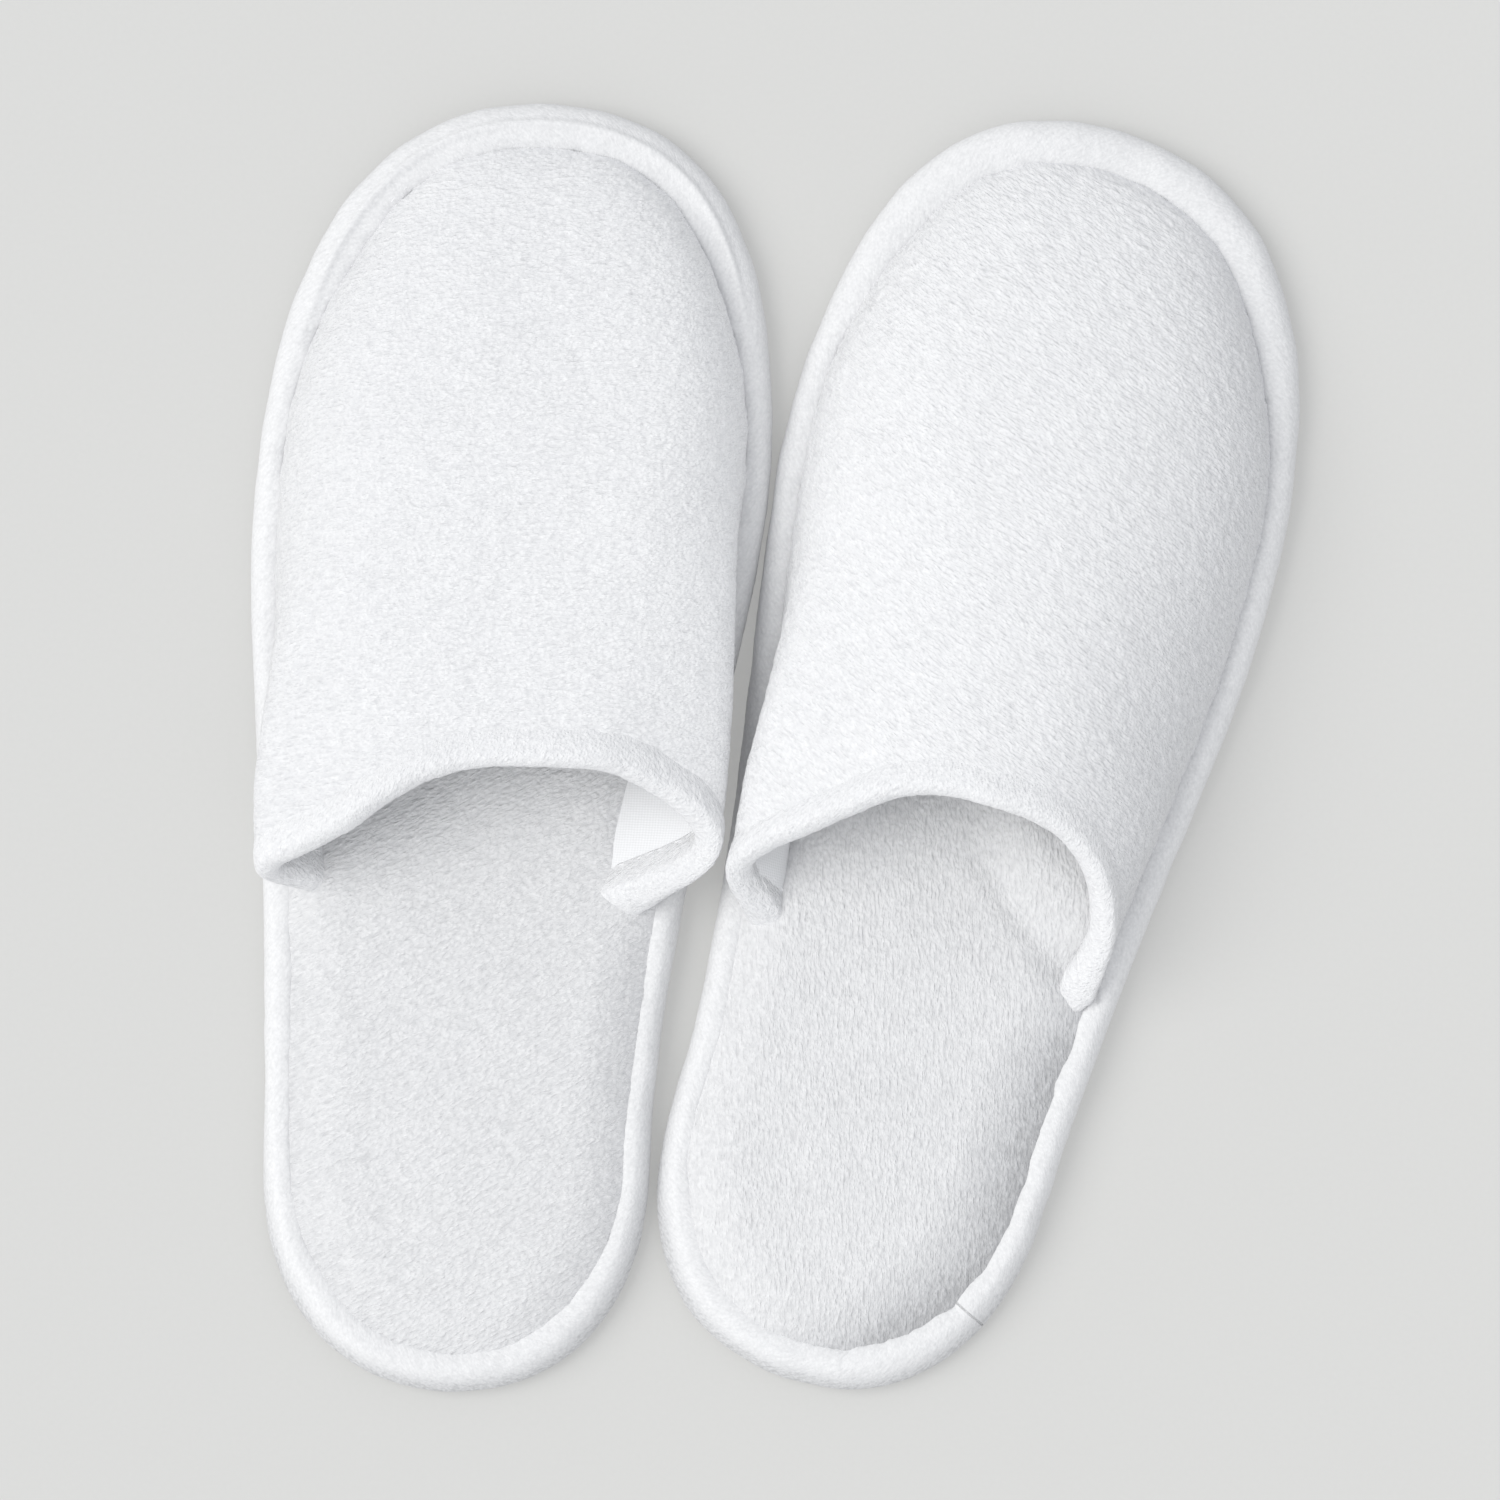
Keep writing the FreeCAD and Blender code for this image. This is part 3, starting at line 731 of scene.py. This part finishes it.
def make_binding(side, s):
    """Rolled plush tape round the sole, puckered where its top leg is sewn down."""
    stations = TAPE_STATIONS
    u, length = even_stations(stations, s["tape_joint"])
    point, inward = raw_outline(u)
    run = np.arange(stations) / stations * length
    turn = 2 * np.pi * run / length
    ring = np.stack([np.cos(turn), np.sin(turn)], -1) * length / (2 * np.pi)
    slow = layered(ring, 26.0, s["seed"] + 41, 2)
    width = rim_width(point[:, 1]) + 1.4 + 0.35 * noise(ring, 5.0, s["seed"] + 42) + 0.25 * slow
    heel = ease(-point[:, 1], 70, 125)
    section, relief = binding_section(width, RIM_HEIGHT + 0.3 * slow, heel)
    around = section.shape[1]
    grid = np.dstack([point[:, None] + inward[:, None] * section[..., [0]], section[..., [1]]])
    normals = grid_normals(grid, wrap=True)
    step = np.linalg.norm(np.roll(grid, -1, 1) - grid, axis=-1)
    over = np.cumsum(step, axis=1) - step
    flat = np.stack(np.broadcast_arrays(run[:, None], over), -1)
    wound = np.dstack([np.broadcast_to(ring[:, None], (stations, around, 2)), over])
    clumps = tufts(turned(flat, 35, 1.35), 1.3, s["seed"] + 43)
    fine = noise(wound, 1.0, s["seed"] + 44)
    near_seam = np.exp(-over / 2.6)
    pucker = noise(wound * [1, 1, 0.25], 2.6, s["seed"] + 45)
    lift = 0.07 * clumps + 0.06 * fine + 0.4 * pucker * near_seam + 0.25 * noise(wound, 7.0, s["seed"] + 46)
    overlap = ease(run, 0, 1.2) * np.exp(-run / 5.0)
    lift = lift + 0.6 * overlap[:, None] * np.exp(-over / 3.0)
    groove = np.exp(-((section[..., 0] - 4.6) / 0.9) ** 2) * ease(point[:, 1], 85, 118)[:, None]
    lift = lift - s["toe_ridge"] * groove * (section[..., 1] > 4)
    grid = grid + normals * (lift * relief)[..., None]
    grid[..., 2] = np.maximum(grid[..., 2], 0.0)
    # Painted shade between the tufts: lighter on each tuft and darker between them, with random tone on top.
    tone_and_shade = 0.5 + 0.2 * (clumps - 0.5) + 0.12 * fine + 0.06 * slow[:, None]
    # Painted shade: the tape is coloured darker towards the bottom of its outer side, near the floor, and
    # more so round the heel.
    lowness = -grid[..., 2]
    tone_and_shade = tone_and_shade - 0.8 * ease(lowness, -7.0, -2.5) - 1.3 * heel[:, None] * ease(lowness, -8.8, -5.5)
    marks = {"tone_and_shade": tone_and_shade.reshape(-1), "cloth": cloth_marks(flat)}
    faces = [quads(stations, around, wrap_rows=True, wrap_columns=True)]
    return build(side + "_binding_tape", grid.reshape(-1, 3), faces, s, marks)


def sole_disc(inset, counts):
    """Grid over the sole's plan moved inwards by inset(y): (x, y) and the share of the way to its edge."""
    lateral, medial = two_sides(inset)
    across, down = np.meshgrid(spread(counts[0]), spread(counts[1]), indexing="ij")
    a, b = across * np.sqrt(1 - down ** 2 / 2), down * np.sqrt(1 - across ** 2 / 2)
    middle, reach = 0.5 * (medial[0, 1] + medial[-1, 1]), 0.5 * (medial[-1, 1] - medial[0, 1])
    y = middle + reach * b
    x = between(y, chord_share(a, b), lateral, medial)
    return np.stack([x, y], -1), np.sqrt(np.minimum(a * a + b * b, 1))


def from_edge(plan):
    """Distance of every grid point from the grid's own outer edge."""
    rim = np.concatenate([plan[0], plan[-1], plan[:, 0], plan[:, -1]])[::2]
    rows = [np.sqrt(np.min(np.sum((row[:, None] - rim[None]) ** 2, -1), axis=1)) for row in plan]
    return np.array(rows)


def make_insole(side, s, name, drop, counts):
    """Crowned insole with rounded shoulders: the plush cover, or with drop the foam pad under it."""
    corner = 0.5 * (s["lateral_y"] + s["medial_y"])
    tuck_under = 1.3

    def inset(y):
        covered = 6.7 * ease(y, corner + 2, corner + 14) + 5.0 * ease(y, 80, 125)
        return rim_width(y) - tuck_under + covered + 1.2 * drop
    plan, _ = sole_disc(inset, counts)
    inwards = from_edge(plan) + 1.2 * drop
    lateral, back = -plan[..., 0], -plan[..., 1]
    slump = s["slump"] * ease(lateral, -12, 22) * ease(back, 28, 62)
    shoulder = 1 - (1 - np.clip(inwards / (14.0 + 5.0 * slump), 0, 1)) ** (2.1 - 0.7 * slump)
    # The crease starts beside the opening's outer corner and runs forwards and inwards under the vamp.
    past_crease = (plan[..., 1] + 16.9 - 0.75 * plan[..., 0]) / 1.25
    beside_corner = ease(lateral, -2, 14) * ease(back, -12, 12)
    risen = min(s["fold"], 1.0) * beside_corner * ease(past_crease, 0, 10)
    shoulder = shoulder + (1 - shoulder) * risen
    low = RIM_HEIGHT - 1.3
    settled = 0.7
    z = low + (INSOLE_TOP - low) * shoulder + settled * ease(inwards, 6, 34) - settled
    z = z + 0.5 * layered(plan, 30.0, s["seed"] + 60, 2) * shoulder
    crease = min(s["fold"], 0.8) * beside_corner * np.exp(-(past_crease / 3.0) ** 2)
    z = z + s["fold"] * beside_corner * ease(past_crease, -1, 15) - crease
    lay = turned(plan, s["rows"], 1.5)
    clumps = tufts(lay, 1.25, s["seed"] + 61, 0.7)
    fine = noise(lay, 0.9, s["seed"] + 62)
    coarse = 1 + 0.9 * slump * (1 - shoulder)
    z = z + (0.17 * clumps + 0.08 * fine) * coarse * ease(inwards, 0, 1.5) - drop
    floor = np.full_like(z, BOARD_TOP + SEAM_LIFT)
    bottom = np.dstack([plan, floor if drop else np.maximum(z - PLUSH_THICK, floor)])
    points, faces = slab(np.dstack([plan, z]), bottom)
    # Painted shade: the wide slope at the heel's outer side is coloured darker, down to the deep colour at
    # its edge; the tufts are lighter than the gaps between them, also as painted shade.
    tone_and_shade = 0.5 + 0.22 * (clumps - 0.5) + 0.12 * fine - 2.9 * slump * (1 - shoulder)
    marks = {"tone_and_shade": np.concatenate([tone_and_shade.reshape(-1), np.zeros(tone_and_shade.size)]),
             "cloth": np.concatenate([cloth_marks(plan)] * 2)}
    return build(side + name, points, faces, s, marks)


def make_outsole(side, s):
    """Foam sole with a stepped edge and a grip of shallow diamonds pressed into its underside."""
    rows, columns = 150, 330
    clear = 0.1
    grip_pitch, grip_depth = 4.6, 0.45
    tread, edge = sole_disc(lambda y: TAPE_LOWER_WIDTH + clear + 0 * y, (rows, columns))
    upper, _ = sole_disc(lambda y: TAPE + clear + 0 * y, (rows, columns))
    one, two = (tread[..., 0] + tread[..., 1]) / grip_pitch, (tread[..., 0] - tread[..., 1]) / grip_pitch
    ridge = np.maximum(np.abs(np.cos(np.pi * one)), np.abs(np.cos(np.pi * two)))
    sunk = grip_depth * ease(1 - ridge, 0.02, 0.16) * ease(1 - edge, 0.02, 0.05)
    count = edge.size
    levels = [(upper, np.full(edge.shape, OUTSOLE_TOP)), (upper, np.full(edge.shape, TAPE + clear)),
              (tread, sunk)]
    points = np.concatenate([np.dstack(level).reshape(-1, 3) for level in levels])
    faces = [quads(rows, columns), quads(rows, columns, start=2 * count)[:, ::-1],
             skirt(rows, columns, 0, count), skirt(rows, columns, count, 2 * count)]
    used = np.unique(np.concatenate([f.reshape(-1) for f in faces]))
    renumber = np.zeros(len(points), int)
    renumber[used] = np.arange(len(used))
    return build(side + "_foam_sole", points[used], [renumber[f] for f in faces], s)


def capsules(middles, directions, length, radius):
    """Many short stitches at once, each a closed capsule whose ends bend down into the cloth."""
    rings, around = 7, 8
    along = np.linspace(-1, 1, rings)
    fat = np.sqrt(np.clip(1 - np.abs(along) ** 2.5, 0.06, 1))
    turn = np.arange(around) / around * 2 * np.pi
    side = np.cross(directions, [0, 0, 1.0])
    side /= np.linalg.norm(side, axis=1, keepdims=True)
    up = np.cross(side, directions)
    spine = middles[:, None] + directions[:, None] * (along * length / 2)[None, :, None]
    spine = spine - up[:, None] * (0.9 * radius * along ** 2)[None, :, None]
    ring = (side[:, None, None] * np.cos(turn)[None, None, :, None]
            + up[:, None, None] * np.sin(turn)[None, None, :, None])
    grid = spine[:, :, None] + ring * (radius * fat)[None, :, None, None]
    tips = spine[:, [0, -1]]
    points = np.concatenate([grid.reshape(len(middles), -1, 3), tips], axis=1)
    first = (np.arange(len(middles)) * points.shape[1])[:, None, None]
    faces = [(group[None] + first).reshape(-1, group.shape[1]) for group in tube_faces(rings, around)]
    return points.reshape(-1, 3), faces


def make_sole_stitches(side, s):
    """Row of stitches that holds the tape's upper leg down."""
    pitch, length, radius = 4.6, 2.9, 0.3
    count = int(even_stations(8)[1] / pitch)
    u, _ = even_stations(count)
    point, inward = raw_outline(u)
    width = rim_width(point[:, 1])
    middle = np.column_stack([point + inward * (width - 1.1)[:, None], np.full(count, RIM_HEIGHT - 0.85)])
    ahead = np.stack([inward[:, 1], -inward[:, 0], np.zeros(count)], -1)
    points, faces = capsules(middle, ahead, length, radius)
    return build(side + "_sole_stitches", points, faces, s)


def make_hem_stitches(side, s):
    """Row of stitches through the lining that holds the hem's flap."""
    pitch, length, radius = 3.6, 2.0, 0.22
    _, outward, _, _, run, inside = edge_frame(s, EDGE_STATIONS)
    at = np.linspace(14, EDGE_STATIONS - 15, int(run[-1] / pitch)).astype(int)
    middle = (inside(VAMP_LINING[1], 6.2) - 0.05 * outward)[at]
    ahead = unit(np.gradient(middle, axis=0))
    points, faces = capsules(middle, ahead, length, radius)
    return build(side + "_hem_stitches", points, faces, s)


# ---- both slippers ----------------------------------------------------------------------------------------
# Valley and crown colours of the plush: the darker valley colour is painted shade between the tufts.
VAMP_WHITES = (0.69, 0.693, 0.708), (0.87, 0.872, 0.88)
TAPE_WHITES = (0.665, 0.668, 0.677), (0.815, 0.816, 0.822)
INSOLE_WHITES = (0.61, 0.613, 0.624), (0.80, 0.801, 0.808)
EVA = porous("closed_cell_foam", (0.72, 0.72, 0.715), (0.84, 0.84, 0.83), 0.5, 0.05, 0.6)
BOARD = porous("needled_board", (0.5, 0.48, 0.44), (0.68, 0.66, 0.62), 0.35, 0.1, 0.85)
SPONGE = porous("open_cell_foam", (0.72, 0.71, 0.65), (0.87, 0.86, 0.8), 0.8, 0.2, 0.8)
LINING = knit("smooth_knit")
THREAD = spun("sewing_thread")

for side, s in SLIPPERS.items():
    body = side + "_slipper"
    vamp_plush = plush(side + "_vamp_fleece", *VAMP_WHITES, 0.7, s["nap"], 1.6, 0.5)
    tape_plush = plush(side + "_tape_fleece", *TAPE_WHITES, 0.7, 35, 1.1, 0.16)
    hem_plush = plush(side + "_hem_fleece", *VAMP_WHITES, 0.8, 20, 0.65, 0.42)
    foot_plush = plush(side + "_insole_terry", *INSOLE_WHITES, 0.8, s["rows"], 1.5, 0.55)
    pieces = [
        (make_outsole(side, s), "outsole", EVA, "eva_sole"),
        (make_insole(side, s, "_insole_plush", 0.0, (158, 300)), "insole_cover", foot_plush, "plush_insole"),
        (make_insole(side, s, "_insole_padding", 1.8, (60, 110)), "insole_foam", SPONGE, "soft_foam"),
        (make_binding(side, s), "edge_binding", tape_plush, "plush_tape"),
        (make_sole_stitches(side, s), "sole_seam", THREAD, "thread"),
        (make_vamp_outer(side, s), "vamp_outer", vamp_plush, "plush_vamp"),
        (make_vamp_layer(side, s, "_vamp_padding", VAMP_PAD, (70, 90), 1.6),
         "vamp_foam", SPONGE, "soft_foam"),
        (make_vamp_layer(side, s, "_vamp_knit", VAMP_LINING, (110, 130), 1.0),
         "vamp_lining", LINING, "knit_lining"),
        (make_hem(side, s), "opening_hem", hem_plush, "plush_vamp"),
        (make_hem_stitches(side, s), "hem_seam", THREAD, "thread"),
    ]
    for piece, node, material, slot in pieces:
        piece.data.materials.clear()
        piece.data.materials.append(material)
        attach(piece, body)
        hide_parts(side + "_" + node)
    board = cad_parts[side + "_insole_board"]
    board.data.materials.clear()
    board.data.materials.append(BOARD)


# ---- stage, light and camera ------------------------------------------------------------------------------
def make_floor():
    """Plain pale floor, lit by itself a little so that it stays even."""
    mesh = bpy.data.meshes.new("floor")
    r = 3.0
    mesh.from_pydata([(-r, -r, 0), (r, -r, 0), (r, r, 0), (-r, r, 0)], [], [(0, 1, 2, 3)])
    floor = bpy.data.objects.new("floor", mesh)
    bpy.context.scene.collection.objects.link(floor)
    sh = Shader("pale_floor")
    speck = sh.node("TexNoise", Vector=sh.node("TexCoord").outputs["Object"], Scale=900.0, Detail=2.0)
    sh.link(sh.blend(speck.outputs["Fac"], (0.375, 0.375, 0.367), (0.395, 0.395, 0.387)).outputs["Color"],
            "Base Color")
    sh.set(Roughness=0.9, Specular_IOR_Level=0.1, Emission_Color=(1, 1, 0.985, 1), Emission_Strength=0.268)
    mesh.materials.append(sh.material)


def sun_light(name, towards, strength, angle):
    """Broad soft light from the direction towards, so wide that it throws only a faint shadow."""
    data = bpy.data.lights.new(name, "SUN")
    data.energy, data.angle = strength, math.radians(angle)
    data.color = (1.0, 0.99, 0.965)
    light = bpy.data.objects.new(name, data)
    light.rotation_euler = Vector(towards).to_track_quat("Z", "Y").to_euler()
    bpy.context.scene.collection.objects.link(light)


def make_world(strength):
    """Even, slightly cool light from all round."""
    world = bpy.data.worlds.new("studio")
    world.use_nodes = True
    background = world.node_tree.nodes["Background"]
    background.inputs["Color"].default_value = (0.95, 0.968, 1.0, 1)
    background.inputs["Strength"].default_value = strength
    bpy.context.scene.world = world


def make_camera(aim, height, view_width):
    """Camera straight above aim, from where the frame is view_width wide on the floor."""
    sensor = 36.0
    data = bpy.data.cameras.new("camera")
    data.sensor_width = sensor
    data.lens = sensor * height / view_width
    data.clip_end = 50.0
    camera = bpy.data.objects.new("camera", data)
    camera.location = (*aim, height)
    bpy.context.scene.collection.objects.link(camera)
    bpy.context.scene.camera = camera


make_floor()
make_world(0.75)
sun_light("key", (-0.64, 0.1, 0.77), 1.58, 45.0)
sun_light("fill", (0.0, -0.85, 0.5), 0.5, 80.0)
make_camera((-0.0056, -0.0005), 1.9, 0.3345)
bpy.context.scene.view_settings.view_transform = "Standard"
